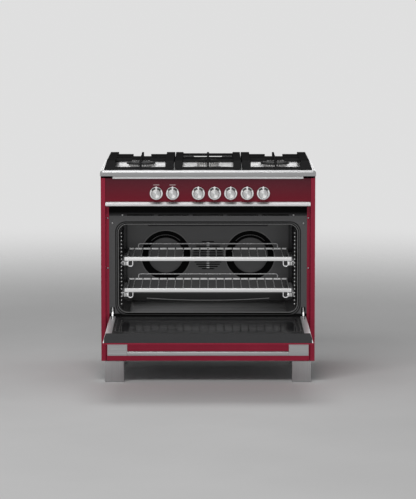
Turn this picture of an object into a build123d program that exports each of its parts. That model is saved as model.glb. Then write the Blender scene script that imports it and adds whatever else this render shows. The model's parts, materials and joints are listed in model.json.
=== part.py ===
from build123d import *
import os

os.makedirs("parts", exist_ok=True)

# Frame: x to the right, y to the back, z up from the floor. The door stands open, the racks are in.
# Overall sizes in millimetres
half_hob = 455.5
half_body = 452.5
leg_height = 92.0
panel_top = 880.0
hob_top = 905.0
grate_top = 943.0
sheet = 2.0

# Depth stations, from the side panels' front flanges to the back
front = -78.5
recess = front + 50.0
frame_y = recess + sheet
cavity_y = frame_y + sheet
baffle_y = front + 470.0
rear_wall = front + 500.0
back = front + 606.0
hob_front = front - 12.0

# Front of the body
flange_width = 19.0
half_panel = half_body - flange_width
half_recess = half_panel - 13.8
control_top = 871.0
control_bottom = 770.0
trim_bottom = 753.0
half_trim = half_panel - 1.2
trim_lead = 10.0
lower_panel_top = 225.0
half_lower = 431.5

# Oven cavity
half_cavity = 383.5
cavity_top = 673.0
cavity_floor = 283.0
mouth_bottom = 291.0
cavity_radius = 40.0

# Door, open; its inner face looks up
door_axis_y = front + 20.0
door_axis_z = 251.0
door_rear = door_axis_y + 14.0
door_front = front - 471.0
door_inner = 278.0
door_skin = 239.0
door_outer = 233.0
half_door = 428.0
half_door_inner = 416.0
half_liner = 392.0
hinge_x = 405.5
pin_radius = 4.0
running = 0.05

# Racks, by the height of their wire deck
rack_decks = {"upper": 519.5, "lower": 385.5}
rack_front = front + 70.0
rack_rear = front + 463.0
half_rack = 356.0
rack_bar = 8.0
rack_bar_half = 8.5
side_wire_x = 347.0
wire_pitch = 35.8
wire_count = 19

# Knobs and burners
knob_xs = (-218.1, -149.4, -40.6, 27.6, 95.5, 165.0, 233.2)
oven_knobs = 2
knob_z = 807.0
knob_back = front - 5.0
knob_radius = 27.0
stem_radius = 4.0
burner_x = 285.5
burner_ys = (front + 145.0, front + 385.0)
centre_burner_y = front + 265.0
burners = [(side * burner_x, y) for side in (-1, 1) for y in burner_ys]
burners.append((0.0, centre_burner_y))
plate_z = 902.0

# Convection fans
fan_x = 186.0
fan_z = 489.5
fan_hole = 109.0
fan_cover = 78.0
fan_shaft = 4.0


# A box between low and high limits on each axis
def slab(x, y, z, mode=Mode.ADD):
    with Locations(((x[0] + x[1]) / 2, (y[0] + y[1]) / 2, (z[0] + z[1]) / 2)):
        Box(x[1] - x[0], y[1] - y[0], z[1] - z[0], mode=mode)


# The same box on the left and on the right of the middle
def slab_pair(x, y, z, mode=Mode.ADD):
    slab(x, y, z, mode)
    slab((-x[1], -x[0]), y, z, mode)


# A round bar from one point to another
def rod(start, end, radius, mode=Mode.ADD):
    run = Vector(*end) - Vector(*start)
    with Locations(Plane(origin=start, z_dir=run)):
        Cylinder(radius, run.length, align=(Align.CENTER, Align.CENTER, Align.MIN), mode=mode)


# A wire bent square through a list of points, with a ball at each inner corner
def wire(points, radius):
    for start, end in zip(points, points[1:]):
        rod(start, end, radius)
    for corner in points[1:-1]:
        with Locations(corner):
            Sphere(radius)


# Side panels: one folded sheet each, with a front flange and a second flange set back behind it.
# The flanges stop short of the hob, which rests on the outer wall.
for side, name in ((-1, "side_panel_left"), (1, "side_panel_right")):
    with BuildPart() as side_panel:
        with BuildSketch(Plane.XY.offset(leg_height)):
            with BuildLine():
                Polyline(
                    (side * half_body, front),
                    (side * half_panel, front),
                    (side * half_panel, recess),
                    (side * half_recess, recess),
                    (side * half_recess, frame_y),
                    (side * (half_panel + sheet), frame_y),
                    (side * (half_panel + sheet), front + sheet),
                    (side * (half_body - sheet), front + sheet),
                    (side * (half_body - sheet), back),
                    (side * half_body, back),
                    close=True,
                )
            make_face()
        extrude(amount=panel_top - leg_height)
        notch_x = sorted((side * half_recess, side * (half_body - sheet)))
        slab(notch_x, (front, frame_y), (control_top, panel_top), Mode.SUBTRACT)
    side_panel.part.label = name
    export_step(side_panel.part, f"parts/{name}.step")

# Back panel with cooling louvres, the gas pipe's hole and two holes for a stability bracket
pipe_x = 400.0
pipe_z = 840.0
pipe_hole = 8.0
bracket_z = 640.0
bracket_spacing = 80.0
bracket_hole = 3.25
louvre_rows = 7
louvre_z = 760.0
with BuildPart() as back_panel:
    slab((-half_body, half_body), (back, back + sheet), (leg_height, panel_top))
    with BuildSketch(Plane.XZ.offset(-back)):
        with Locations((pipe_x, pipe_z)):
            Circle(pipe_hole)
        with Locations((0, bracket_z)):
            with GridLocations(bracket_spacing, 1, 2, 1):
                Circle(bracket_hole)
        with Locations((0, louvre_z)):
            with GridLocations(150, 18, 4, louvre_rows):
                SlotOverall(120, 6)
    extrude(amount=-sheet, mode=Mode.SUBTRACT)
back_panel.part.label = "back_panel"
export_step(back_panel.part, "parts/back_panel.step")

# Base pan under the oven
half_pan = 445.0
with BuildPart() as base_pan:
    slab((-half_pan, half_pan), (front + 10, back - 6), (leg_height - sheet, leg_height))
base_pan.part.label = "base_pan"
export_step(base_pan.part, "parts/base_pan.step")

# Lower front panel: a shallow tray, open at the back
with BuildPart() as lower_panel:
    slab((-half_lower, half_lower), (front, recess), (leg_height, lower_panel_top))
    offset(amount=-sheet, openings=lower_panel.faces().sort_by(Axis.Y)[-1])
lower_panel.part.label = "lower_panel"
export_step(lower_panel.part, "parts/lower_panel.step")

# Four square legs, hollow and open at the top
leg_size = 81.0
leg_inner_x = 357.0
leg_sole = 4.0
leg_top = leg_height - sheet
leg_ys = (front + 5.0, back - 10.0 - leg_size)
with BuildPart() as legs:
    for leg_y in leg_ys:
        slab_pair((leg_inner_x, leg_inner_x + leg_size), (leg_y, leg_y + leg_size), (0, leg_top))
        hollow = (leg_y + sheet, leg_y + leg_size - sheet)
        wall_x = (leg_inner_x + sheet, leg_inner_x + leg_size - sheet)
        slab_pair(wall_x, hollow, (leg_sole, leg_top), Mode.SUBTRACT)
legs.part.label = "legs"
export_step(legs.part, "parts/legs.step")

# Hob: a pressed tray with a rolled front lip, a sunk floor, burner holes and flue slots at the back
front_rim = 22.0
side_rim = 7.0
back_rim = 20.0
corner_radius = 14.0
lip_radius = 12.0
pocket_inset = 6.0
base_neck = 34.0
flue_y = back - 58.0
with BuildPart() as hob:
    slab((-half_hob, half_hob), (hob_front, back + sheet), (panel_top, hob_top))
    fillet(hob.edges().filter_by(Axis.Z), radius=corner_radius)
    fillet(hob.faces().sort_by(Axis.Z)[-1].edges(), radius=lip_radius)
    floor_x = (-half_hob + side_rim, half_hob - side_rim)
    slab(floor_x, (hob_front + front_rim, back - back_rim), (plate_z, hob_top), Mode.SUBTRACT)
    under_x = (-half_hob + pocket_inset, half_hob - pocket_inset)
    under_y = (hob_front + pocket_inset, back + sheet - pocket_inset)
    slab(under_x, under_y, (panel_top, plate_z - sheet), Mode.SUBTRACT)
    for x, y in burners:
        rod((x, y, panel_top), (x, y, hob_top), base_neck + 0.3, Mode.SUBTRACT)
    with BuildSketch(Plane.XY.offset(plate_z)):
        with Locations((0, flue_y)):
            with GridLocations(58, 15, 12, 3):
                SlotOverall(46, 6)
    extrude(amount=-sheet, mode=Mode.SUBTRACT)
hob.part.label = "hob_top"
export_step(hob.part, "parts/hob_top.step")

# Steel strip under the hob's lip
half_strip = 402.0
strip_z = (868.0, 879.0)
with BuildPart() as hob_strip:
    slab((-half_strip, half_strip), (front - 6, front), strip_z)
hob_strip.part.label = "hob_front_strip"
export_step(hob_strip.part, "parts/hob_front_strip.step")

# Control panel: a shallow tray, open at the back, with a hole for each knob's stem
with BuildPart() as control_panel:
    slab((-half_panel, half_panel), (front, recess), (control_bottom, control_top))
    offset(amount=-sheet, openings=control_panel.faces().sort_by(Axis.Y)[-1])
    for x in knob_xs:
        rod((x, front - 1, knob_z), (x, front + 3, knob_z), stem_radius + 2, Mode.SUBTRACT)
control_panel.part.label = "control_panel"
export_step(control_panel.part, "parts/control_panel.step")

# Steel trim under the control panel, with a sloping upper face
with BuildPart() as trim:
    with BuildSketch(Plane.YZ.offset(-half_trim)):
        with BuildLine():
            Polyline(
                (front - trim_lead, trim_bottom),
                (front - trim_lead, trim_bottom + 8),
                (front - 1, control_bottom),
                (front + 12, control_bottom),
                (front + 12, trim_bottom),
                close=True,
            )
        make_face()
    extrude(amount=2 * half_trim)
trim.part.label = "trim_strip"
export_step(trim.part, "parts/trim_strip.step")

# Oven front frame: two rails and two stiles welded edge to edge, with cooling slots and the hinges' slots
frame_half = 436.0
frame_top = 748.0
slot_spans = ((-344, -229), (-213, -81), (-65, 65), (81, 213), (229, 344))
slot_z = 709.0
hinge_slot = (10.0, 70.0)
hinge_slot_z = 285.0
seam_x = 352.0
seam = 0.1
with BuildPart() as front_frame:
    slab((-frame_half, frame_half), (frame_y, cavity_y), (lower_panel_top, frame_top))
    slab((-half_recess, half_recess), (front + 12, frame_y), (frame_top - sheet, frame_top))
    with BuildSketch(Plane.XZ.offset(-frame_y)):
        with Locations((0, (mouth_bottom + cavity_top) / 2)):
            RectangleRounded(2 * half_cavity, cavity_top - mouth_bottom, cavity_radius)
        for low, high in slot_spans:
            with Locations(((low + high) / 2, slot_z)):
                SlotOverall(high - low, 6)
        with Locations((-hinge_x, hinge_slot_z), (hinge_x, hinge_slot_z)):
            Rectangle(*hinge_slot)
    extrude(amount=-sheet, mode=Mode.SUBTRACT)
    slab_pair((seam_x, seam_x + seam), (front, cavity_y), (lower_panel_top, frame_top), Mode.SUBTRACT)
front_frame.part.label = "oven_front_frame"
export_step(front_frame.part, "parts/oven_front_frame.step")

# Door gasket round the mouth
gasket_outer = (792.0, 400.0)
gasket_inner = (774.0, 388.0)
with BuildPart() as gasket:
    with BuildSketch(Plane.XZ.offset(-frame_y)):
        with Locations((0, (mouth_bottom + cavity_top) / 2)):
            RectangleRounded(*gasket_outer, 46)
            RectangleRounded(*gasket_inner, 41, mode=Mode.SUBTRACT)
    extrude(amount=4)
    fillet(gasket.faces().sort_by(Axis.Y)[0].edges(), radius=2)
gasket.part.label = "door_gasket"
export_step(gasket.part, "parts/door_gasket.step")

# Oven cavity: an enamelled box, open at the front
with BuildPart() as cavity:
    mid_z = (cavity_floor + cavity_top) / 2
    tall = cavity_top - cavity_floor
    with BuildSketch(Plane.XZ.offset(-cavity_y)):
        with Locations((0, mid_z)):
            RectangleRounded(2 * (half_cavity + sheet), tall + 2 * sheet, cavity_radius + sheet)
    extrude(amount=-(rear_wall + sheet - cavity_y))
    with BuildSketch(Plane.XZ.offset(-cavity_y)):
        with Locations((0, mid_z)):
            RectangleRounded(2 * half_cavity, tall, cavity_radius)
    extrude(amount=-(rear_wall - cavity_y), mode=Mode.SUBTRACT)
    for x in (-fan_x, fan_x):
        rod((x, rear_wall - 1, fan_z), (x, rear_wall + 3, fan_z), 8, Mode.SUBTRACT)
cavity.part.label = "cavity_liner"
export_step(cavity.part, "parts/cavity_liner.step")

# Fan baffle: a shallow tray on the cavity's back with a round hole at each fan and a middle grille
grille_rows = 13
grille_pitch = 10.0
grille_radius = 66.0
rib_half = 7.5
baffle_size = (710.0, 376.0)
with BuildPart() as baffle:
    with BuildSketch(Plane.XZ.offset(-baffle_y)):
        with Locations((0, (cavity_floor + cavity_top) / 2)):
            RectangleRounded(*baffle_size, cavity_radius)
    extrude(amount=-(rear_wall - baffle_y))
    offset(amount=-sheet, openings=baffle.faces().sort_by(Axis.Y)[-1])
    with BuildSketch(Plane.XZ.offset(-baffle_y)):
        with Locations((-fan_x, fan_z), (fan_x, fan_z)):
            Circle(fan_hole)
        for row in range(grille_rows):
            rise = (row - (grille_rows - 1) / 2) * grille_pitch
            reach = (grille_radius**2 - rise**2) ** 0.5
            length = max(reach - rib_half, 14)
            with Locations((-rib_half - length / 2, fan_z + rise), (rib_half + length / 2, fan_z + rise)):
                SlotOverall(length, 5)
    extrude(amount=-sheet, mode=Mode.SUBTRACT)
baffle.part.label = "fan_baffle"
export_step(baffle.part, "parts/fan_baffle.step")

# Fan covers: a disc in each hole of the baffle, on three posts
with BuildPart() as covers:
    for x in (-fan_x, fan_x):
        rod((x, baffle_y, fan_z), (x, baffle_y + sheet, fan_z), fan_cover)
        with BuildSketch(Plane(origin=(x, baffle_y, fan_z), x_dir=(1, 0, 0), z_dir=(0, 1, 0))):
            with PolarLocations(fan_cover - 6.5, 3, start_angle=30):
                Circle(4)
        extrude(amount=rear_wall - baffle_y)
covers.part.label = "fan_covers"
export_step(covers.part, "parts/fan_covers.step")

# Fan impellers: a disc with straight blades and its shaft
blade_count = 12
impeller_radius = 64.0
hub_radius = 10.0
for x, name in ((-fan_x, "fan_impeller_left"), (fan_x, "fan_impeller_right")):
    with BuildPart() as impeller:
        rod((x, rear_wall - 6, fan_z), (x, rear_wall - 4, fan_z), impeller_radius)
        rod((x, rear_wall - 22, fan_z), (x, rear_wall + 24, fan_z), fan_shaft)
        rod((x, rear_wall - 20, fan_z), (x, rear_wall - 4, fan_z), hub_radius)
        with BuildSketch(Plane(origin=(x, rear_wall - 6, fan_z), x_dir=(1, 0, 0), z_dir=(0, -1, 0))):
            with PolarLocations(48, blade_count):
                Rectangle(26, 2)
        extrude(amount=14)
    impeller.part.label = name
    export_step(impeller.part, f"parts/{name}.step")

# Fan motors behind the cavity
motor_front = rear_wall + sheet
motor_length = 55.0
motor_radius = 38.0
with BuildPart() as motors:
    for x in (-fan_x, fan_x):
        rod((x, motor_front, fan_z), (x, motor_front + motor_length, fan_z), motor_radius)
        bore = fan_shaft + running
        rod((x, motor_front - 1, fan_z), (x, motor_front + 26, fan_z), bore, Mode.SUBTRACT)
motors.part.label = "fan_motors"
export_step(motors.part, "parts/fan_motors.step")

# Side ladders: two uprights and a stack of rungs on each wall, with pegs into the wall
rung_pitch = 16.0
rung_count = 20
rung_x = 369.0
rung_low = 325.0
rung_y = (front + 84.0, front + 431.0)
upright_x = 372.5
upright_z = (322.0, 642.0)
peg_zs = (340.0, 622.0)
with BuildPart() as ladders:
    for side in (-1, 1):
        for y in (front + 120, front + 400):
            rod((side * upright_x, y, upright_z[0]), (side * upright_x, y, upright_z[1]), 2.5)
            for z in peg_zs:
                rod((side * upright_x, y, z), (side * half_cavity, y, z), 2.5)
        for row in range(rung_count):
            z = rung_low + row * rung_pitch
            rod((side * rung_x, rung_y[0], z), (side * rung_x, rung_y[1], z), 2)
ladders.part.label = "side_ladders"
export_step(ladders.part, "parts/side_ladders.step")

# Telescopic runners: a fixed channel on each ladder and a slide inside it
runner_drop = 20.0
channel_inner = 355.5
channel_outer = rung_x - 2.0
channel_half = 8.5
with BuildPart() as rails:
    for deck in rack_decks.values():
        mid = deck - runner_drop
        slab_pair((channel_inner, channel_outer), rung_y, (mid - channel_half, mid + channel_half))
        gap = (mid - channel_half + sheet, mid + channel_half - sheet)
        slab_pair((channel_inner, channel_outer - sheet), rung_y, gap, Mode.SUBTRACT)
rails.part.label = "runner_rails"
export_step(rails.part, "parts/runner_rails.step")

slide_half = channel_half - sheet - 0.4
slide_inner = 344.0
end_half = 7.5
for level, deck in rack_decks.items():
    mid = deck - runner_drop
    with BuildPart() as slides:
        slide_z = (mid - slide_half, mid + slide_half)
        slab_pair((slide_inner, channel_outer - sheet - 0.5), (rack_front, rung_y[1] - 1), slide_z)
        end_y = (rack_front, rack_front + rack_bar)
        slab_pair((slide_inner, half_rack), end_y, (mid - end_half, mid + end_half))
        slab_pair((slide_inner + 2, half_rack - 2), end_y, (mid + end_half, deck - rack_bar_half))
        lug_y = (rung_y[1] - 13, rung_y[1] - 1)
        slab_pair((slide_inner, slide_inner + 6), lug_y, (mid + slide_half, deck - 3))
    slides.part.label = f"runner_slides_{level}"
    export_step(slides.part, f"parts/runner_slides_{level}.step")

# Racks: a flat front bar, a deck of wires, a rear guard and two front loops
guard_half = 306.0
guard_rise = 22.0
loop_xs = (340.5, 320.5)
loop_drop = 31.5
for level, deck in rack_decks.items():
    with BuildPart() as rack:
        bar_edges = (deck - rack_bar_half, deck + rack_bar_half)
        slab((-half_rack, half_rack), (rack_front, rack_front + rack_bar), bar_edges)
        fillet(rack.edges().filter_by(Axis.X), radius=2)
        for row in range(wire_count):
            x = (row - (wire_count - 1) / 2) * wire_pitch
            rod((x, rack_front + 5, deck), (x, rack_rear, deck), 2)
        for x in (-side_wire_x, side_wire_x):
            rod((x, rack_front + 5, deck), (x, rack_rear, deck), 3)
        rod((-side_wire_x - 2, rack_rear, deck), (side_wire_x + 2, rack_rear, deck), 2.9)
        guard_top = deck + guard_rise
        guard = ((-guard_half, rack_rear, deck), (-guard_half, rack_rear, guard_top))
        wire([*guard, (guard_half, rack_rear, guard_top), (guard_half, rack_rear, deck)], 2.4)
        for side in (-1, 1):
            loop_y = rack_front + rack_bar / 2
            low = deck - loop_drop
            outer_x, inner_x = (side * x for x in loop_xs)
            outer = ((outer_x, loop_y, deck - 7), (outer_x, loop_y, low))
            wire([*outer, (inner_x, loop_y, low), (inner_x, loop_y, deck - 7)], 2.5)
    rack.part.label = f"rack_{level}"
    export_step(rack.part, f"parts/rack_{level}.step")

# Oven floor plate: a lift-out plate with a raised middle
half_plate = 336.0
plate_border = 46.0
plate_rise = 4.0
plate_y = (front + 80.0, front + 455.0)
with BuildPart() as floor_plate:
    slab((-half_plate, half_plate), plate_y, (cavity_floor, cavity_floor + sheet))
    raised_x = (-half_plate + plate_border, half_plate - plate_border)
    raised_y = (plate_y[0] + plate_border, plate_y[1] - plate_border)
    slab(raised_x, raised_y, (cavity_floor + sheet, cavity_floor + sheet + plate_rise))
    fillet(floor_plate.edges().filter_by(Axis.Z), radius=30)
floor_plate.part.label = "oven_floor_plate"
export_step(floor_plate.part, "parts/oven_floor_plate.step")

# Bake burner under the cavity and grill burner under its roof, each a looped tube on a stand
bake_z = 240.0
bake_half = 220.0
bake_gap = 60.0
bake_tube = 11.0
stand = 20.0
with BuildPart() as bake_burner:
    y_near, y_far = front + 140, front + 400
    left_arm = [(-bake_gap, y_near, bake_z), (-bake_half, y_near, bake_z), (-bake_half, y_far, bake_z)]
    right_arm = [(bake_half, y_far, bake_z), (bake_half, y_near, bake_z), (bake_gap, y_near, bake_z)]
    wire(left_arm + right_arm, bake_tube)
    rod((0, y_far, bake_z), (0, back - 4, bake_z), bake_tube)
    for y in (y_near, y_far):
        stand_x = (bake_half - stand, bake_half + stand)
        slab_pair(stand_x, (y - stand, y + stand), (leg_height, bake_z - 5))
bake_burner.part.label = "bake_burner"
export_step(bake_burner.part, "parts/bake_burner.step")

grill_z = cavity_top - 11.0
grill_half = 250.0
grill_tube = 8.0
hanger = 6.0
with BuildPart() as grill_burner:
    y_near, y_far = front + 130, front + 290
    left_arm = [(-grill_half, y_far, grill_z), (-grill_half, y_near, grill_z)]
    right_arm = [(grill_half, y_near, grill_z), (grill_half, y_far, grill_z)]
    wire(left_arm + right_arm, grill_tube)
    rod((0, y_near, grill_z), (0, y_far + 60, grill_z), grill_tube)
    for x in (-grill_half, 0, grill_half):
        slab((x - hanger, x + hanger), (y_near - hanger, y_near + hanger), (grill_z, cavity_top))
grill_burner.part.label = "grill_burner"
export_step(grill_burner.part, "parts/grill_burner.step")

# Mineral wool over the roof and sides of the cavity
half_wool = 434.0
wool_y = (front + 60.0, front + 496.0)
wool_z = (330.0, 700.0)
with BuildPart() as wool:
    slab((-half_wool, half_wool), wool_y, wool_z)
    inner = half_cavity + sheet + 0.5
    slab((-inner, inner), wool_y, (wool_z[0], cavity_top + sheet + 0.5), Mode.SUBTRACT)
wool.part.label = "insulation"
export_step(wool.part, "parts/insulation.step")

# Gas manifold: a square bar behind the knobs, a supply pipe to the back and its inlet spigot
bar_half = 8.0
bar_y = front + 31.0
inlet_radius = 10.65
inlet_length = 20.0
supply_radius = 7.0
inlet_bore = 7.5
with BuildPart() as manifold:
    bar_span_z = (pipe_z - bar_half, pipe_z + bar_half)
    slab((-70, pipe_x + bar_half), (bar_y - bar_half, bar_y + bar_half), bar_span_z)
    inlet_y = (back + sheet, back + sheet + inlet_length)
    rod((pipe_x, bar_y, pipe_z), (pipe_x, inlet_y[0], pipe_z), supply_radius)
    rod((pipe_x, inlet_y[0], pipe_z), (pipe_x, inlet_y[1], pipe_z), inlet_radius)
    bore_start = (pipe_x, inlet_y[0] + 2, pipe_z)
    rod(bore_start, (pipe_x, inlet_y[1], pipe_z), inlet_bore, Mode.SUBTRACT)
manifold.part.label = "gas_manifold"
export_step(manifold.part, "parts/gas_manifold.step")

# Gas valves under the manifold, each with a bore for its stem
valve_front = front + 12.0
control_back = front + 48.0
valve_half = 13.0
stem_back = front + 36.0
push_travel = 4.0
valve_top = pipe_z - bar_half
with BuildPart() as valves:
    for x in knob_xs[oven_knobs:]:
        slab((x - valve_half, x + valve_half), (valve_front, control_back), (knob_z - 15, valve_top))
        bore = stem_radius + running
        rod((x, valve_front - 1, knob_z), (x, stem_back + push_travel + 2, knob_z), bore, Mode.SUBTRACT)
valves.part.label = "gas_valves"
export_step(valves.part, "parts/gas_valves.step")

# Oven selector and thermostat: a body behind the panel with a fixed spindle
spindle_tip = front - 22.0
control_half = 26.0
with BuildPart() as oven_controls:
    for x in knob_xs[:oven_knobs]:
        body_x = (x - control_half, x + control_half)
        body_z = (knob_z - control_half, knob_z + control_half)
        slab(body_x, (front + sheet, control_back), body_z)
        rod((x, spindle_tip, knob_z), (x, front + 10, knob_z), stem_radius)
oven_controls.part.label = "oven_controls"
export_step(oven_controls.part, "parts/oven_controls.step")

# Valve stems, pushed in against the valve's spring
for number, x in enumerate(knob_xs[oven_knobs:], start=1):
    with BuildPart() as stem:
        rod((x, spindle_tip, knob_z), (x, stem_back, knob_z), stem_radius)
    stem.part.label = f"valve_stem_{number}"
    export_step(stem.part, f"parts/valve_stem_{number}.step")

# Knobs: a skirt, a slightly tapered grip with a dished face and a pointer ridge at the top
knob_length = 36.0
grip_radius = 20.5
pointer_half = 2.6
pointer_top = knob_z + knob_radius + 2.5
for number, x in enumerate(knob_xs, start=1):
    with BuildPart() as knob:
        with BuildSketch(Plane(origin=(x, knob_back, knob_z), x_dir=(1, 0, 0), z_dir=(0, 0, 1))):
            with BuildLine():
                Polyline(
                    (stem_radius + running, 0),
                    (knob_radius, 0),
                    (knob_radius, -5),
                    (knob_radius - 3, -8),
                    (grip_radius, -9),
                    (grip_radius - 1.5, -knob_length + 3),
                    (grip_radius - 3.5, -knob_length),
                    (0, -knob_length + 1),
                    (0, -24),
                    (stem_radius + running, -24),
                    close=True,
                )
            make_face()
        revolve(axis=Axis((x, knob_back, knob_z), (0, 1, 0)))
        pointer_x = (x - pointer_half, x + pointer_half)
        slab(pointer_x, (knob_back - 14, knob_back - 1), (knob_z + 15, pointer_top))
    knob.part.label = f"knob_{number}"
    export_step(knob.part, f"parts/knob_{number}.step")

# Burners: a base through the hob, a slotted head and a cap
head_z = plate_z + 11.0
cap_z = head_z + 7.0
base_bottom = 862.0
base_radius = 46.0
head_radius = 52.0
cap_radius = 62.0
with BuildPart() as bases:
    for x, y in burners:
        rod((x, y, base_bottom), (x, y, plate_z), base_neck)
        rod((x, y, plate_z), (x, y, head_z), base_radius)
bases.part.label = "burner_bases"
export_step(bases.part, "parts/burner_bases.step")

port_count = 28
with BuildPart() as heads:
    for x, y in burners:
        with BuildSketch(Plane(origin=(x, y, head_z))):
            Circle(head_radius)
            with PolarLocations(head_radius, port_count):
                Rectangle(9, 3.5, mode=Mode.SUBTRACT)
        extrude(amount=cap_z - head_z)
heads.part.label = "burner_heads"
export_step(heads.part, "parts/burner_heads.step")

with BuildPart() as caps:
    for x, y in burners:
        rod((x, y, cap_z), (x, y, cap_z + 8), cap_radius)
    fillet(caps.edges().filter_by(GeomType.CIRCLE).group_by(Axis.Z)[-1], radius=3)
caps.part.label = "burner_caps"
export_step(caps.part, "parts/burner_caps.step")

# Grates: flat side rails on end blocks, low end bars, a middle bar and fingers towards each burner.
# The outer side of the outer grates leans in towards the top.
grate_y = (front + 25.0, front + 504.0)
finger_z = (grate_top - 12, grate_top)
low_bar_z = (plate_z, plate_z + 14)
low_bar = 10.0
foot_length = 26.0
finger_half = 4.5
finger_reach = 38.0


# Two rails with a foot at each end and the low bars between them
def grate_frame(x_low, x_high, left_width, right_width):
    for x in ((x_low, x_low + left_width), (x_high - right_width, x_high)):
        slab(x, grate_y, finger_z)
        slab(x, (grate_y[0], grate_y[0] + foot_length), (plate_z, grate_top))
        slab(x, (grate_y[1] - foot_length, grate_y[1]), (plate_z, grate_top))
    slab((x_low, x_high), (grate_y[0], grate_y[0] + low_bar), low_bar_z)
    slab((x_low, x_high), (grate_y[1] - low_bar, grate_y[1]), low_bar_z)


# A finger that stands on a low end bar and reaches towards a burner
def end_finger(x, y_end, y_tip):
    slab((x - finger_half, x + finger_half), sorted((y_end, y_tip)), finger_z)
    post_end = y_end + low_bar if y_tip > y_end else y_end - low_bar
    slab((x - finger_half, x + finger_half), sorted((y_end, post_end)), (plate_z, grate_top))


outer_x = 441.0
outer_lean = 14.0
split_x = 143.5
outer_rail = 50.0
inner_rail = 37.0
for side, name in ((-1, "grate_left"), (1, "grate_right")):
    with BuildPart() as grate:
        x_low, x_high = sorted((side * outer_x, side * split_x))
        widths = (outer_rail, inner_rail) if side < 0 else (inner_rail, outer_rail)
        grate_frame(x_low, x_high, *widths)
        x = side * burner_x
        slab((x_low, x_high), (centre_burner_y - 5, centre_burner_y + 5), finger_z)
        for y in burner_ys:
            slab((x_low, x - finger_reach), (y - finger_half, y + finger_half), finger_z)
            slab((x + finger_reach, x_high), (y - finger_half, y + finger_half), finger_z)
            inner_tip = y + finger_reach if y < centre_burner_y else y - finger_reach
            arm = sorted((inner_tip, centre_burner_y))
            slab((x - finger_half, x + finger_half), arm, finger_z)
        end_finger(x, grate_y[0], burner_ys[0] - finger_reach)
        end_finger(x, grate_y[1], burner_ys[1] + finger_reach)
        with BuildSketch(Plane.XZ.offset(-grate_y[0])):
            with BuildLine():
                Polyline(
                    (side * outer_x, plate_z),
                    (side * outer_x, grate_top),
                    (side * (outer_x - outer_lean), grate_top),
                    close=True,
                )
            make_face()
        extrude(amount=grate_y[0] - grate_y[1], mode=Mode.SUBTRACT)
    grate.part.label = name
    export_step(grate.part, f"parts/{name}.step")

half_centre = 140.0
centre_rail = 32.5
centre_reach = 60.0
rear_bar_rise = 20.0
ring_y = (grate_y[0] + 75.0, grate_y[1] - 75.0)
with BuildPart() as grate:
    grate_frame(-half_centre, half_centre, centre_rail, centre_rail)
    for y in ring_y:
        slab((-half_centre, half_centre), (y - finger_half, y + finger_half), finger_z)
    finger_y = (centre_burner_y - finger_half, centre_burner_y + finger_half)
    slab_pair((centre_reach, half_centre), finger_y, finger_z)
    rear_bar_y = (grate_y[1] - low_bar, grate_y[1])
    slab((-half_centre, half_centre), rear_bar_y, (plate_z, plate_z + rear_bar_rise))
    end_finger(0, grate_y[0], centre_burner_y - finger_reach)
    end_finger(0, grate_y[1], centre_burner_y + finger_reach)
grate.part.label = "grate_centre"
export_step(grate.part, "parts/grate_centre.step")

# Screw heads on the side flanges and the front frame
flange_screws = ((426.0, 697.0), (426.0, 483.0))
plate_screws = ((363.0, 709.0), (405.5, 674.0))
with BuildPart() as screws:
    for side in (-1, 1):
        for x, z in flange_screws:
            rod((side * x, recess - 2, z), (side * x, recess, z), 4)
        for x, z in plate_screws:
            rod((side * x, frame_y - 2, z), (side * x, frame_y, z), 3.5)
screws.part.label = "frame_screws"
export_step(screws.part, "parts/frame_screws.step")

# Hinge claws: a plate on the back of the front frame, and an arm through it that carries the door's pin
claw_half = 3.0
claw_rise = 64.0
with BuildPart() as claws:
    for side in (-1, 1):
        with BuildSketch(Plane.YZ.offset(side * hinge_x - claw_half)):
            with BuildLine():
                Polyline(
                    (door_axis_y, door_axis_z - 9),
                    (cavity_y + 3, door_axis_z + 4),
                    (cavity_y + 3, door_axis_z + claw_rise),
                    (frame_y - 6, door_axis_z + claw_rise),
                    (door_axis_y - 9, door_axis_z),
                    close=True,
                )
            make_face()
            with Locations((door_axis_y, door_axis_z)):
                Circle(9)
        extrude(amount=2 * claw_half)
        plate_x = (side * hinge_x - 11, side * hinge_x + 11)
        slab(plate_x, (cavity_y, cavity_y + 3), (door_axis_z - 16, door_axis_z + claw_rise + 10))
        pin_x = (side * hinge_x - 8.5, side * hinge_x + 8.5)
        rod((pin_x[0], door_axis_y, door_axis_z), (pin_x[1], door_axis_y, door_axis_z), pin_radius)
claws.part.label = "hinge_claws"
export_step(claws.part, "parts/hinge_claws.step")

# Cable gland box on the back for the ignition and fan supply
gland_x = -380.0
gland_y = back + sheet + 9.0
gland_z = (138.0, 150.0)
box_half = 35.0
box_height = 80.0
with BuildPart() as power_inlet:
    box_z = (gland_z[1], gland_z[1] + box_height)
    slab((gland_x - box_half, gland_x + box_half), (back + sheet, back + sheet + 18), box_z)
    rod((gland_x, gland_y, gland_z[1]), (gland_x, gland_y, gland_z[0]), 8)
    rod((gland_x, gland_y, gland_z[1]), (gland_x, gland_y, gland_z[0]), 5, Mode.SUBTRACT)
power_inlet.part.label = "power_inlet"
export_step(power_inlet.part, "parts/power_inlet.step")

# Door skin: the coloured outer panel, a shallow tray with a window, and the pane inside it
window_half = 330.0
window_y = (door_front + 120.0, door_rear - 90.0)
with BuildPart() as door_panel:
    slab((-half_door, half_door), (door_front, door_rear), (door_outer, door_skin))
    offset(amount=-sheet, openings=door_panel.faces().sort_by(Axis.Z)[-1])
    with BuildSketch(Plane.XY.offset(door_outer)):
        with Locations((0, sum(window_y) / 2)):
            RectangleRounded(2 * window_half, window_y[1] - window_y[0], 25)
    extrude(amount=sheet, mode=Mode.SUBTRACT)
door_panel.part.label = "door_outer_panel"
export_step(door_panel.part, "parts/door_outer_panel.step")

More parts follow.
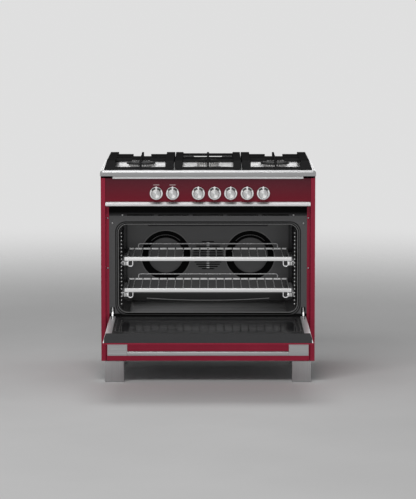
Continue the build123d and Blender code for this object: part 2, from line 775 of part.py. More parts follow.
with BuildPart() as outer_glass:
    pane_edge = (window_y[0] - 15, window_y[1] + 15)
    slab((-window_half - 15, window_half + 15), pane_edge, (door_outer + sheet, door_skin))
outer_glass.part.label = "door_outer_glass"
export_step(outer_glass.part, "parts/door_outer_glass.step")

# Door liner: the dark tray round the inner pane, with the full-width band along the door's top edge
wall = 3.0
band = 12.0
pane_half = 372.0
pane_y = (door_front + 46.0, door_rear - 34.0)
with BuildPart() as door_liner:
    slab((-half_liner, half_liner), (door_front + band, door_rear), (door_skin, door_inner))
    inner_x = (-half_liner + wall, half_liner - wall)
    slab(inner_x, (door_front + band, door_rear - wall), (door_skin, door_inner - wall), Mode.SUBTRACT)
    with BuildSketch(Plane.XY.offset(door_inner)):
        with Locations((0, sum(pane_y) / 2)):
            RectangleRounded(2 * pane_half, pane_y[1] - pane_y[0], 30)
    extrude(amount=-wall, mode=Mode.SUBTRACT)
    with BuildSketch(Plane.XZ.offset(-door_front)):
        with BuildLine():
            Polyline(
                (-half_door, door_skin),
                (half_door, door_skin),
                (half_door_inner, door_inner),
                (-half_door_inner, door_inner),
                close=True,
            )
        make_face()
    extrude(amount=-band)
door_liner.part.label = "door_liner"
export_step(door_liner.part, "parts/door_liner.step")

with BuildPart() as inner_glass:
    pane_z = (door_inner - wall - 4, door_inner - wall)
    slab((-pane_half - 14, pane_half + 14), (pane_y[0] - 14, pane_y[1] + 14), pane_z)
inner_glass.part.label = "door_inner_glass"
export_step(inner_glass.part, "parts/door_inner_glass.step")

# Door side trims: folded steel along each side, with a slot for the hinge claw
slot_half = 4.5
slot_end = door_axis_y - claw_rise - 10.0
with BuildPart() as side_trims:
    for side in (-1, 1):
        with BuildSketch(Plane.XZ.offset(-(door_front + band))):
            with BuildLine():
                Polyline(
                    (side * half_door, door_skin),
                    (side * half_door_inner, door_inner),
                    (side * half_liner, door_inner),
                    (side * half_liner, door_inner - sheet),
                    (side * (half_door_inner - sheet), door_inner - sheet),
                    (side * (half_door - sheet), door_skin),
                    close=True,
                )
            make_face()
        extrude(amount=-(door_rear - door_front - band))
    claw_x = (hinge_x - slot_half, hinge_x + slot_half)
    slab_pair(claw_x, (slot_end, door_rear), (door_inner - sheet, door_inner), Mode.SUBTRACT)
side_trims.part.label = "door_side_trims"
export_step(side_trims.part, "parts/door_side_trims.step")

# Hinge housings: a channel inside each side of the door, bored for the pin
with BuildPart() as housings:
    housing_y = (slot_end - 40, door_rear)
    slab_pair((hinge_x - 7.5, hinge_x + 7.5), housing_y, (door_skin, door_inner - sheet))
    slab_pair(claw_x, housing_y, (door_skin + sheet, door_inner - sheet), Mode.SUBTRACT)
    for side in (-1, 1):
        bore_x = (side * hinge_x - 9, side * hinge_x + 9)
        pin_start = (bore_x[0], door_axis_y, door_axis_z)
        rod(pin_start, (bore_x[1], door_axis_y, door_axis_z), pin_radius + running, Mode.SUBTRACT)
housings.part.label = "hinge_housings"
export_step(housings.part, "parts/hinge_housings.step")

# Door handle: a flat bracket at each end and the bar between them
handle_y = (door_front + 28.0, door_front + 46.0)
handle_drop = 50.6
bar_depth = 17.2
bracket_inner = 329.0
bracket_outer = 410.0
bar_z = (door_outer - handle_drop, door_outer - handle_drop + bar_depth)
with BuildPart() as brackets:
    slab_pair((bracket_inner, bracket_outer), handle_y, (bar_z[0], door_outer))
brackets.part.label = "handle_brackets"
export_step(brackets.part, "parts/handle_brackets.step")

with BuildPart() as handle_bar:
    slab((-bracket_inner, bracket_inner), handle_y, bar_z)
    fillet(handle_bar.edges().filter_by(Axis.X), radius=2)
handle_bar.part.label = "handle_bar"
export_step(handle_bar.part, "parts/handle_bar.step")
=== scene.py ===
import json
import math

import bmesh
import bpy
from mathutils import Matrix, Vector


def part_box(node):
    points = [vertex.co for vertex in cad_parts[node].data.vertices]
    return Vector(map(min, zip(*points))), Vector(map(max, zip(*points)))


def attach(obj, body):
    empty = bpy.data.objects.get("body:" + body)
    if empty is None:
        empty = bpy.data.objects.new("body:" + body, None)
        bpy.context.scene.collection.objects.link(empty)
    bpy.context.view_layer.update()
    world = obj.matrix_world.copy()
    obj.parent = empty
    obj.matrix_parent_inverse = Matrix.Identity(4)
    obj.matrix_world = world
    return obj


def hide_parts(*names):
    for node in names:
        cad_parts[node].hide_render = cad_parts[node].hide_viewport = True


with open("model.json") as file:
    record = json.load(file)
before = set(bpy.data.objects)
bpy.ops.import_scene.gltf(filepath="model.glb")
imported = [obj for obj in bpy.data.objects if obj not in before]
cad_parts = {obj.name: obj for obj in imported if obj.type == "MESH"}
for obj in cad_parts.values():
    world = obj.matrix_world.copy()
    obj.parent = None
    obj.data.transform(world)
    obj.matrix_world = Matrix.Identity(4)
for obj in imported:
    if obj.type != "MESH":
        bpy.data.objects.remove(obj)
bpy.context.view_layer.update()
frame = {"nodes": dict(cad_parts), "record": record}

nodes = frame["nodes"]
record = frame["record"]
mm = 0.001
frontY = -78.5  # front flanges of the side panels, mm; depths below count back from here
facing = (0, -1, 0)  # the way the front looks
scene = bpy.context.scene


# finishes: small node helpers first
def addNode(tree, kind, values=None, **options):
    made = tree.nodes.new(kind)
    for key, value in options.items():
        setattr(made, key, value)
    for key, value in (values or {}).items():
        made.inputs[key].default_value = value
    return made


def startFinish(name, sockets):
    finish = bpy.data.materials.new(name)
    finish.use_nodes = True
    tree = finish.node_tree
    shader = tree.nodes["Principled BSDF"]
    for key, value in sockets.items():
        shader.inputs[key].default_value = value
    return finish, tree, shader


def noiseOn(tree, scale, stretch=(1, 1, 1), detail=3.0):
    place = addNode(tree, "ShaderNodeTexCoord")
    mapping = addNode(tree, "ShaderNodeMapping", {"Scale": stretch})
    noise = addNode(tree, "ShaderNodeTexNoise", {"Scale": scale, "Detail": detail})
    tree.links.new(place.outputs["Object"], mapping.inputs["Vector"])
    tree.links.new(mapping.outputs["Vector"], noise.inputs["Vector"])
    return noise.outputs["Fac"]


def tint(tree, shader, fac, dark, light, low=0.35, high=0.65):
    ramp = addNode(tree, "ShaderNodeValToRGB")
    for element, position, colour in zip(ramp.color_ramp.elements, (low, high), (dark, light)):
        element.position = position
        element.color = (*colour, 1)
    tree.links.new(fac, ramp.inputs["Fac"])
    tree.links.new(ramp.outputs["Color"], shader.inputs["Base Color"])


def roughen(tree, shader, fac, low, high):
    spread = addNode(tree, "ShaderNodeMapRange",
                     {"From Min": 0.3, "From Max": 0.7, "To Min": low, "To Max": high})
    tree.links.new(fac, spread.inputs["Value"])
    tree.links.new(spread.outputs["Result"], shader.inputs["Roughness"])


def emboss(tree, shader, fac, strength, distance):
    bump = addNode(tree, "ShaderNodeBump", {"Strength": strength, "Distance": distance})
    tree.links.new(fac, bump.inputs["Height"])
    tree.links.new(bump.outputs["Normal"], shader.inputs["Normal"])


# runs from 0 to 1 between two places on an axis, with some grain in it
slopeValues = {"from": -0.15, "to": 0.85, "grain": 0.3}


def slopeAlong(tree, grain, axis, start, stop, paired=False):
    split = addNode(tree, "ShaderNodeSeparateXYZ")
    tree.links.new(addNode(tree, "ShaderNodeTexCoord").outputs["Object"], split.inputs[0])
    slope = addNode(tree, "ShaderNodeMapRange", {"From Min": start, "From Max": stop,
                                                 "To Min": slopeValues["from"], "To Max": slopeValues["to"]})
    place = split.outputs[axis]
    if paired:  # the same on the left and the right
        fold = addNode(tree, "ShaderNodeMath", operation="ABSOLUTE")
        tree.links.new(place, fold.inputs[0])
        place = fold.outputs[0]
    tree.links.new(place, slope.inputs["Value"])
    blend = addNode(tree, "ShaderNodeMath", {1: slopeValues["grain"]}, operation="MULTIPLY_ADD")
    tree.links.new(grain, blend.inputs[0])
    tree.links.new(slope.outputs["Result"], blend.inputs[2])
    return blend.outputs[0]


# tints by the grain, or along an axis where the finish fades from dark to light; each such fade here is painted
# shade or painted light
def tintFaded(tree, shader, grain, dark, light, fade=None):
    if fade:
        tint(tree, shader, slopeAlong(tree, grain, *fade), dark, light, 0.0, 1.0)
    else:
        tint(tree, shader, grain, dark, light)


# glossy red enamel with a faint orange peel
redValues = {"gloss": 0.16, "cloud": 4.0, "peel": 420.0, "rough": (0.24, 0.32), "bump": 0.05, "depth": 0.0003}


def redEnamel(name, deep, bright, fade=None):
    finish, tree, shader = startFinish(name, {"Specular IOR Level": redValues["gloss"]})
    tintFaded(tree, shader, noiseOn(tree, redValues["cloud"]), deep, bright, fade)
    peel = noiseOn(tree, redValues["peel"], detail=1.0)
    roughen(tree, shader, peel, *redValues["rough"])
    emboss(tree, shader, peel, redValues["bump"], redValues["depth"])
    return finish


# satin steel, brushed along one direction
lengthwise, upAndDown, inAndOut = (3, 900, 900), (900, 900, 3), (900, 3, 900)


def satinSteel(name, stretch, dark, light, rough, metal=1.0, bump=0.06, depth=0.0002, fade=None):
    finish, tree, shader = startFinish(name, {"Metallic": metal})
    grain = noiseOn(tree, 1.0, stretch, detail=4.0)
    tintFaded(tree, shader, grain, dark, light, fade)
    roughen(tree, shader, grain, *rough)
    emboss(tree, shader, grain, bump, depth)
    return finish


# dark grey oven enamel with fine pale specks
ovenValues = {"dark": (0.050, 0.050, 0.051), "light": (0.072, 0.072, 0.073), "rough": (0.32, 0.45),
              "gloss": 0.2, "speck": 700.0, "edges": (0.45, 0.75), "peel": 260.0, "bump": 0.05, "depth": 0.0003}


def darkEnamel():
    finish, tree, shader = startFinish("darkEnamel", {"Specular IOR Level": ovenValues["gloss"]})
    speck = noiseOn(tree, ovenValues["speck"], detail=2.0)
    tint(tree, shader, speck, ovenValues["dark"], ovenValues["light"], *ovenValues["edges"])
    roughen(tree, shader, speck, *ovenValues["rough"])
    peel = noiseOn(tree, ovenValues["peel"], detail=1.0)
    emboss(tree, shader, peel, ovenValues["bump"], ovenValues["depth"])
    return finish


# turned knob metal: rings and two bright sectors follow the knob's own map; the sectors are painted highlights
knobFinish = {"dark": (0.40, 0.40, 0.40), "light": (0.68, 0.68, 0.675), "rough": (0.2, 0.32),
              "rings": 900.0, "sectors": 2, "turn": 3.9, "bump": 0.08, "depth": 0.0001}


def knobMetal():
    finish, tree, shader = startFinish("knobMetal", {"Metallic": 0.4, "Anisotropic": 0.5})
    place = addNode(tree, "ShaderNodeTexCoord").outputs["UV"]
    rings = addNode(tree, "ShaderNodeTexWave", {"Scale": knobFinish["rings"], "Distortion": 0.6, "Detail": 2.0},
                    wave_type="RINGS", rings_direction="Z")
    tree.links.new(place, rings.inputs["Vector"])
    sector = addNode(tree, "ShaderNodeTexGradient", gradient_type="RADIAL")
    tree.links.new(place, sector.inputs["Vector"])
    swing = addNode(tree, "ShaderNodeMath", {1: knobFinish["sectors"] * 2 * math.pi, 2: knobFinish["turn"]},
                    operation="MULTIPLY_ADD")
    tree.links.new(sector.outputs["Fac"], swing.inputs[0])
    wave = addNode(tree, "ShaderNodeMath", operation="SINE")
    tree.links.new(swing.outputs[0], wave.inputs[0])
    tint(tree, shader, wave.outputs[0], knobFinish["dark"], knobFinish["light"], 0.0, 0.8)
    roughen(tree, shader, rings.outputs["Fac"], *knobFinish["rough"])
    emboss(tree, shader, rings.outputs["Fac"], knobFinish["bump"], knobFinish["depth"])
    return finish


# dark heat glass, with a faint smear in its gloss
paneValues = {"dark": (0.012, 0.012, 0.013), "light": (0.0145, 0.0145, 0.0155), "rough": (0.1, 0.12),
              "smear": 9.0}


def darkPane():
    finish, tree, shader = startFinish("darkPane", {"Transmission Weight": 0.25, "IOR": 1.5,
                                                    "Specular IOR Level": 0.07})
    smear = noiseOn(tree, paneValues["smear"])
    tint(tree, shader, smear, paneValues["dark"], paneValues["light"])
    roughen(tree, shader, smear, *paneValues["rough"])
    return finish


# galvanised sheet with its crystal spangle
zincValues = {"dark": (0.33, 0.34, 0.35), "light": (0.5, 0.51, 0.52), "rough": (0.38, 0.55)}


def zincSheet():
    finish, tree, shader = startFinish("zincSheet", {"Metallic": 1.0})
    place = addNode(tree, "ShaderNodeTexCoord")
    spangle = addNode(tree, "ShaderNodeTexVoronoi", {"Scale": 70.0})
    tree.links.new(place.outputs["Object"], spangle.inputs["Vector"])
    shade = addNode(tree, "ShaderNodeSeparateColor")
    tree.links.new(spangle.outputs["Color"], shade.inputs["Color"])
    tint(tree, shader, shade.outputs["Red"], zincValues["dark"], zincValues["light"], 0.0, 1.0)
    roughen(tree, shader, shade.outputs["Green"], *zincValues["rough"])
    return finish


# plain finishes that differ by colour and grain only
def grainFinish(name, dark, light, scale, rough, metal=0.0, bump=0.1, depth=0.0003, gloss=0.5, fade=None,
                detail=3.0):
    finish, tree, shader = startFinish(name, {"Metallic": metal, "Specular IOR Level": gloss})
    grain = noiseOn(tree, scale, detail=detail)
    tintFaded(tree, shader, grain, dark, light, fade)
    roughen(tree, shader, grain, *rough)
    if bump:
        emboss(tree, shader, grain, bump, depth)
    return finish


finishes = {
    "red_enamel": redEnamel("redEnamel", (0.156, 0.0092, 0.0225), (0.184, 0.0118, 0.0275)),
    "satin_steel": satinSteel("satinSteel", lengthwise, (0.44, 0.44, 0.45), (0.56, 0.56, 0.565), (0.26, 0.4)),
    "dark_enamel": darkEnamel(),
    "cast_black": grainFinish("castBlack", (0.010, 0.010, 0.0102), (0.020, 0.020, 0.0205), 520.0, (0.42, 0.62),
                              bump=0.25, depth=0.0005, gloss=0.0, detail=4.0),
    "chrome_wire": grainFinish("chromeWire", (0.62, 0.62, 0.63), (0.78, 0.78, 0.79), 160.0, (0.2, 0.3),
                               metal=0.4, bump=0.0, detail=2.0),
    "knob_metal": knobMetal(),
    "burner_alloy": grainFinish("burnerAlloy", (0.84, 0.83, 0.82), (0.94, 0.93, 0.92), 240.0, (0.34, 0.5),
                                metal=0.1, bump=0.12),
    "pane": darkPane(),
    "zinc_sheet": zincSheet(),
    "valve_brass": grainFinish("valveBrass", (0.5, 0.34, 0.12), (0.66, 0.47, 0.18), 180.0, (0.28, 0.42),
                               metal=1.0),
    "black_plastic": grainFinish("blackPlastic", (0.012, 0.012, 0.012), (0.02, 0.02, 0.02), 600.0, (0.4, 0.55)),
    "rope_seal": grainFinish("ropeSeal", (0.003, 0.003, 0.003), (0.009, 0.009, 0.009), 900.0, (0.75, 0.9),
                             bump=0.5, depth=0.0008),
    "mineral_wool": grainFinish("mineralWool", (0.10, 0.085, 0.04), (0.18, 0.15, 0.07), 300.0, (0.85, 0.95),
                                bump=0.8, depth=0.002),
}
# painted shade: the control panel's red darkens towards its top, under the hob's overhang
panelRed = redEnamel("panelRed", (0.044, 0.0076, 0.0125), (0.104, 0.0068, 0.0142), ("Z", 0.871, 0.770))
uprightSteel = satinSteel("uprightSteel", upAndDown, (0.48, 0.48, 0.485), (0.57, 0.57, 0.575), (0.28, 0.42))
hobSteel = satinSteel("hobSteel", lengthwise, (0.37, 0.37, 0.375), (0.44, 0.44, 0.445), (0.27, 0.36),
                      bump=0.012)
stripSteel = satinSteel("stripSteel", lengthwise, (0.56, 0.56, 0.565), (0.66, 0.66, 0.665), (0.26, 0.38),
                        metal=0.8)
barSteel = satinSteel("barSteel", (2, 700, 700), (0.60, 0.60, 0.60), (0.74, 0.74, 0.74), (0.16, 0.24),
                      metal=0.35)
paleSteel = satinSteel("paleSteel", lengthwise, (0.72, 0.72, 0.73), (0.84, 0.84, 0.845), (0.26, 0.38))
# painted reflection: the door trims and the liner's ends are pale at their outer edges and darker inwards
doorSteel = satinSteel("doorSteel", inAndOut, (0.38, 0.38, 0.385), (0.86, 0.86, 0.87), (0.28, 0.4),
                       metal=0.5, fade=("X", 0.396, 0.422, True))
hingeSteel = satinSteel("hingeSteel", (300, 300, 300), (0.16, 0.16, 0.16), (0.3, 0.3, 0.3), (0.35, 0.5))
backEnamel = grainFinish("backEnamel", (0.058, 0.058, 0.059), (0.076, 0.076, 0.077), 700.0, (0.4, 0.55),
                         bump=0.05)
# painted shade and reflection on the knobs' grip flank and on the skirt beside the pointer
knobPaintedShade = grainFinish("knobPaintedShade", (0.05, 0.052, 0.05), (0.09, 0.092, 0.09), 260.0, (0.3, 0.45), metal=0.6)
# painted shade: near-black for the burner ports, the frame under the mouth, the ring beside the lip, the fan
# wells, the grille and hinge slots, and the insulation
paintedShadeBlack = grainFinish("paintedShadeBlack", (0.002, 0.002, 0.002), (0.004, 0.004, 0.004), 300.0, (0.85, 0.95),
                        gloss=0.1)
# dark steel: the bake burner's heat tint, and painted shade on the fan impellers behind their covers
heatTintAndShadeSteel = grainFinish("heatTintAndShadeSteel", (0.012, 0.012, 0.013), (0.03, 0.029, 0.028), 120.0, (0.5, 0.7))
# painted shade: the side ladders' wire is kept dark
ladderWire = grainFinish("ladderWire", (0.05, 0.05, 0.05), (0.09, 0.09, 0.09), 200.0, (0.35, 0.5), metal=0.8)
# painted highlight: pale grey on the rolled lips round the mouth and the fan holes
lipEnamel = grainFinish("lipEnamel", (0.08, 0.08, 0.08), (0.11, 0.11, 0.11), 300.0, (0.25, 0.4))
beadEnamel = grainFinish("beadEnamel", (0.022, 0.022, 0.022), (0.034, 0.034, 0.034), 300.0, (0.35, 0.5),
                         gloss=0.15)
linerBlack = grainFinish("linerBlack", (0.010, 0.010, 0.0105), (0.017, 0.017, 0.0175), 240.0, (0.2, 0.3),
                         bump=0.04, gloss=0.06)
bandEnamel = grainFinish("bandEnamel", (0.020, 0.020, 0.021), (0.032, 0.032, 0.033), 500.0, (0.4, 0.55),
                         bump=0.05, gloss=0.2)
# painted light: the oven floor's enamel runs from dark at the front to lighter at the back
floorEnamel = grainFinish("floorEnamel", (0.055, 0.055, 0.056), (0.24, 0.24, 0.241), 700.0, (0.4, 0.55),
                          bump=0.05, fade=("Y", 0.0, 0.38))
# shadeEnamel paints a shadow on the foot of the back wall; ribEnamel paints the highlight on its rib
shadeEnamel = grainFinish("shadeEnamel", (0.018, 0.018, 0.018), (0.028, 0.028, 0.028), 700.0, (0.5, 0.65),
                          bump=0.05, gloss=0.2)
ribEnamel = grainFinish("ribEnamel", (0.20, 0.20, 0.20), (0.27, 0.27, 0.27), 300.0, (0.25, 0.4))
# painted shadow under the trim: black at the top, fading out just above the vent slots
ventShade = grainFinish("ventShade", (0.002, 0.002, 0.002), (0.030, 0.030, 0.031), 300.0, (0.6, 0.7),
                        gloss=0.05, fade=("Z", 0.722, 0.706))
skirtMetal = grainFinish("skirtMetal", (0.60, 0.60, 0.60), (0.72, 0.72, 0.72), 240.0, (0.25, 0.35),
                         metal=0.3, bump=0.03)
wireShadowMark = grainFinish("wireShadowMark", (0.018, 0.018, 0.018), (0.045, 0.044, 0.043), 900.0, (0.4, 0.55),
                       bump=0.06, gloss=0.1)
stripWire = grainFinish("stripWire", (0.86, 0.86, 0.86), (0.95, 0.95, 0.95), 200.0, (0.25, 0.35),
                        metal=0.1, bump=0.03)
capEnamel = grainFinish("capEnamel", (0.016, 0.016, 0.0162), (0.026, 0.026, 0.0262), 420.0, (0.5, 0.62),
                        bump=0.06, gloss=0.02)
# painted glints: pale metal on the grille's studs and the ladders' rung tips
glintMetal = grainFinish("glintMetal", (0.46, 0.46, 0.46), (0.58, 0.58, 0.58), 300.0, (0.3, 0.45))
markPaint = grainFinish("markPaint", (0.30, 0.24, 0.24), (0.36, 0.29, 0.29), 300.0, (0.5, 0.6))

# every solid takes the finish of its slot in the record, and a few take a finish of their own
for part in record["subparts"]:
    nodes[part["node"]].data.materials.clear()
    nodes[part["node"]].data.materials.append(finishes[part["material_slot"]])
# the insulation's black and the impellers' dark steel are painted shade inside the body and behind the fan
# covers
ownFinish = {"bake_burner": heatTintAndShadeSteel, "fan_impeller_left": heatTintAndShadeSteel, "fan_impeller_right": heatTintAndShadeSteel,
             "insulation": paintedShadeBlack, "grill_burner": bandEnamel, "hob_top": hobSteel, "fan_baffle": backEnamel}
for node, finish in ownFinish.items():
    nodes[node].data.materials[0] = finish
print("finishes ready")

# modelling helpers; sizes and places are given in mm
bodies = record["behaviour"]["bodies"]
bodyOf = {node: body for body, members in bodies.items() for node in members}
slotOf = {part["node"]: part["material_slot"] for part in record["subparts"]}
ridesOn = {body: [nodes[node] for node in members] for body, members in bodies.items()}
meshValues = {"weldAndShadeWidth": 0.000002, "copyWeld": 0.00002, "cut": 0.000001, "flat": 2, "sharp": 38}  # metres, degrees


def makePiece(name, bm, node, hides=True, finish=None, more=(), turned=True):
    bmesh.ops.remove_doubles(bm, verts=bm.verts, dist=meshValues["weldAndShadeWidth"])
    if turned:
        bmesh.ops.recalc_face_normals(bm, faces=bm.faces)
    mesh = bpy.data.meshes.new(name)
    bm.to_mesh(mesh)
    bm.free()
    mesh.shade_smooth()
    mesh.set_sharp_from_angle(angle=math.radians(meshValues["sharp"]))
    for coat in (finish or finishes[slotOf[node]], *more):
        mesh.materials.append(coat)
    piece = bpy.data.objects.new(name, mesh)
    scene.collection.objects.link(piece)
    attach(piece, bodyOf[node])
    ridesOn.setdefault(bodyOf[node], []).append(piece)
    if hides:
        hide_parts(node)
    return piece


def softEdge(piece, width, segments=3, angle=50):
    edge = piece.modifiers.new("softEdge", "BEVEL")
    edge.width = width * mm
    edge.segments = segments
    edge.limit_method = "ANGLE"
    edge.angle_limit = math.radians(angle)
    edge.harden_normals = True


def thicken(piece, wall):
    sheet = piece.modifiers.new("sheet", "SOLIDIFY")
    sheet.thickness = wall * mm
    sheet.offset = -1


# cuts a mesh across one direction at each place
def cutAcross(bm, along, places):
    for place in places:
        bmesh.ops.bisect_plane(bm, geom=bm.verts[:] + bm.edges[:] + bm.faces[:], dist=meshValues["cut"],
                               plane_co=[part * place * mm for part in along], plane_no=along)


# a merged copy of a solid, with its edges eased, and cut where its finish changes
def softCopy(node, name, width, segments=3, finish=None, more=(), cuts=None):
    bm = bmesh.new()
    bm.from_mesh(nodes[node].data)
    bmesh.ops.remove_doubles(bm, verts=bm.verts, dist=meshValues["copyWeld"])
    bmesh.ops.dissolve_limit(bm, angle_limit=math.radians(meshValues["flat"]), verts=bm.verts, edges=bm.edges)
    if cuts:
        cutAcross(bm, *cuts)
    piece = makePiece(name, bm, node, finish=finish, more=more, turned=False)
    softEdge(piece, width, segments)
    return piece


def around(middle, half):
    return middle - half, middle + half


# the two corners of a box as a range on each axis
def rangesOf(corners):
    low, high = (corner / mm for corner in corners)
    return zip(low, high)


def addBox(bm, x, y, z):
    made = bmesh.ops.create_cube(bm, size=1.0)["verts"]
    bmesh.ops.scale(bm, vec=Vector((x[1] - x[0], y[1] - y[0], z[1] - z[0])) * mm, verts=made)
    bmesh.ops.translate(bm, vec=Vector((x[0] + x[1], y[0] + y[1], z[0] + z[1])) * mm / 2, verts=made)
    return made


def edgesOf(verts):
    return list({edge for vert in verts for edge in vert.link_edges})


# the edges of a box that run along one axis, 0 to 2
def edgesAlong(verts, axis):
    return [edge for edge in edgesOf(verts) if abs(edge.verts[0].co[axis] - edge.verts[1].co[axis]) > 0.1 * mm]


def ease(bm, edges, width, segments=3):
    bmesh.ops.bevel(bm, geom=edges, offset=width * mm, offset_type="OFFSET", segments=segments, profile=0.5,
                    affect="EDGES", material=-1, clamp_overlap=True)


def addSoftBox(bm, x, y, z, width, segments=2):
    ease(bm, edgesOf(addBox(bm, x, y, z)), width, segments)


# a profile of (radius, height along the axis) spun round a point
def addLathe(bm, profile, centre, axis=(0, 0, 1), steps=48, closed=False):
    along = Vector(axis)
    line = [bm.verts.new((Vector(centre) + Vector((radius, 0, 0)) + along * height) * mm)
            for radius, height in profile]
    edges = [bm.edges.new(pair) for pair in zip(line, line[1:])]
    if closed:
        edges.append(bm.edges.new((line[-1], line[0])))
    bmesh.ops.spin(bm, geom=line + edges, cent=Vector(centre) * mm, axis=along, dvec=(0, 0, 0),
                   angle=2 * math.pi, steps=steps, use_merge=True, use_normal_flip=False, use_duplicate=False)


def vertsIn(items):
    return [item for item in items if isinstance(item, bmesh.types.BMVert)]


# a round wire: each move is a straight length, or a bend as (axis, degrees, radius)
def addWire(bm, start, heading, radius, moves, sides=10, closed=False, bendSteps=8):
    heading = Vector(heading).normalized()
    spot = Vector(start)
    place = Matrix.Translation(spot * mm) @ heading.to_track_quat("Z", "Y").to_matrix().to_4x4()
    ends = bmesh.ops.create_circle(bm, cap_ends=not closed, segments=sides, radius=radius * mm,
                                   matrix=place)["verts"]
    ring = edgesOf(ends)
    for move in moves:
        if isinstance(move, tuple):
            axis, degrees, bend = Vector(move[0]), move[1], move[2]
            centre = spot + axis.cross(heading) * bend
            turn = Matrix.Rotation(math.radians(degrees), 3, axis)
            made = bmesh.ops.spin(bm, geom=ring + ends, cent=centre * mm, axis=axis, dvec=(0, 0, 0),
                                  angle=math.radians(degrees), steps=bendSteps, use_merge=False,
                                  use_normal_flip=False, use_duplicate=False)["geom_last"]
            spot = centre + turn @ (spot - centre)
            heading = turn @ heading
        else:
            made = bmesh.ops.extrude_edge_only(bm, edges=ring)["geom"]
            bmesh.ops.translate(bm, vec=heading * move * mm, verts=vertsIn(made))
            spot = spot + heading * move
        ends = vertsIn(made)
        ring = [item for item in made if isinstance(item, bmesh.types.BMEdge) and set(item.verts) <= set(ends)]
    if not closed:
        bmesh.ops.contextual_create(bm, geom=ring)


# a wire bent into a closed rounded rectangle, upright (facing the front) or lying flat
def addLoop(bm, centre, halfSizes, corner, radius, flat=False):
    wide, tall = halfSizes
    axis = (0, 0, 1) if flat else facing
    away = Vector((0, -tall, 0)) if flat else Vector((0, 0, -tall))
    turn = (axis, 90, corner)
    half, side = wide - corner, 2 * (tall - corner)
    moves = [half, turn, side, turn, 2 * half, turn, side, turn, half]
    addWire(bm, Vector(centre) + away, (1, 0, 0), radius, moves, closed=True)


# a rounded flat plate as one face, in a mesh of its own
def addPlate(bm, x, y, z, corner):
    made = bmesh.ops.create_grid(bm, x_segments=1, y_segments=1, size=0.5)["verts"]
    bmesh.ops.scale(bm, vec=Vector((x[1] - x[0], y[1] - y[0], 0)) * mm, verts=made)
    bmesh.ops.translate(bm, vec=Vector(((x[0] + x[1]) / 2, (y[0] + y[1]) / 2, z)) * mm, verts=made)
    bmesh.ops.bevel(bm, geom=made, offset=corner * mm, offset_type="OFFSET", segments=8, profile=0.5,
                    affect="VERTICES", material=-1, clamp_overlap=True)
    return max(bm.faces, key=lambda face: face.calc_area())


# a folded tray as large as its node, open at the back
def foldedTray(node, name, corner, wall, finish=None):
    bm = bmesh.new()
    addBox(bm, *rangesOf(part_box(node)))
    rear = max(bm.faces, key=lambda face: face.calc_center_median().y)
    bmesh.ops.delete(bm, geom=[rear], context="FACES_ONLY")
    ease(bm, [edge for edge in bm.edges if len(edge.link_faces) == 2], corner, 4)
    thicken(makePiece(name, bm, node, finish=finish), wall)


# body: folded sheets, trims and legs
bodyValues = {"trayCorner": 2.6, "trayWall": 1.6, "sheetEdge": 0.8, "trimEdge": 1.2}
for node, name, finish in (("control_panel", "controlPanel", panelRed), ("lower_panel", "lowerPanel", None)):
    foldedTray(node, name, bodyValues["trayCorner"], bodyValues["trayWall"], finish)
for node, name in (("side_panel_left", "sidePanelLeft"), ("side_panel_right", "sidePanelRight")):
    softCopy(node, name, bodyValues["sheetEdge"])
for node, name, finish in (("trim_strip", "trimStrip", paleSteel), ("hob_front_strip", "hobStrip", stripSteel)):
    softCopy(node, name, bodyValues["trimEdge"], finish=finish)

legValues = {"inner": 357.0, "size": 81.0, "near": 5.0, "far": 515.0, "top": 90.0, "corner": 3.5}
bm = bmesh.new()
for depth in (legValues["near"], legValues["far"]):
    for side in (-1, 1):
        x = sorted((side * legValues["inner"], side * (legValues["inner"] + legValues["size"])))
        y = (frontY + depth, frontY + depth + legValues["size"])
        made = addBox(bm, x, y, (0, legValues["top"]))
        sole = [edge for edge in edgesOf(made) if edge.verts[0].co.z + edge.verts[1].co.z < mm]
        ease(bm, edgesAlong(made, 2) + sole, legValues["corner"], 4)
makePiece("legPosts", bm, "legs", finish=uprightSteel)
print("body pieces ready")

# hob: the burners with their ports, their caps, and a pressed ring round each
burnerValues = {"x": 285.5, "near": 145.0, "far": 385.0, "middle": 265.0, "plate": 902.0,
                "ports": 28, "portRim": 0.2, "portDepth": 2.5, "reach": 60.0,
                "base": [(0, -12), (34, -12), (34, 0), (46, 0), (46, 9.6), (45, 11), (0, 11)],
                "head": [(0, 11), (50.6, 11), (52, 11.8), (52, 17.2), (51, 18), (0, 18)],
                "cap": [(0, 18), (58, 18), (61.2, 18.8), (62, 20.6), (61.6, 22.8), (60, 24.2), (56, 25),
                        (30, 25.8), (0, 26)],
                "ring": [(66, 0), (68, 1), (75, 1), (77, 0)]}
burnerSpots = [(side * burnerValues["x"], frontY + depth, burnerValues["plate"])
               for side in (-1, 1) for depth in (burnerValues["near"], burnerValues["far"])]
burnerSpots.append((0, frontY + burnerValues["middle"], burnerValues["plate"]))


# one profile turned at every burner
def turnBurners(kind, **options):
    bm = bmesh.new()
    for spot in burnerSpots:
        addLathe(bm, burnerValues[kind], spot, **options)
    return bm


# the same, with ports sunk into the upright wall, their black a painted shade
def portBurners(kind):
    bm = turnBurners(kind, steps=3 * burnerValues["ports"])
    bmesh.ops.remove_doubles(bm, verts=bm.verts, dist=meshValues["weldAndShadeWidth"])
    bmesh.ops.recalc_face_normals(bm, faces=bm.faces)
    ports = []
    for spot in burnerSpots:
        wall = []
        for face in bm.faces:
            off = face.calc_center_median() - Vector(spot) * mm
            if abs(face.normal.z) < 0.1 and off.z > 0 and off.length < burnerValues["reach"] * mm:
                wall.append((math.atan2(off.y, off.x), face))
        wall.sort(key=lambda entry: entry[0])
        ports += [entry[1] for entry in wall[::3]]  # one face in three is a port
    bmesh.ops.inset_individual(bm, faces=ports, thickness=burnerValues["portRim"] * mm,
                               depth=-burnerValues["portDepth"] * mm, use_even_offset=True)
    for face in ports:
        face.material_index = 1
    return bm


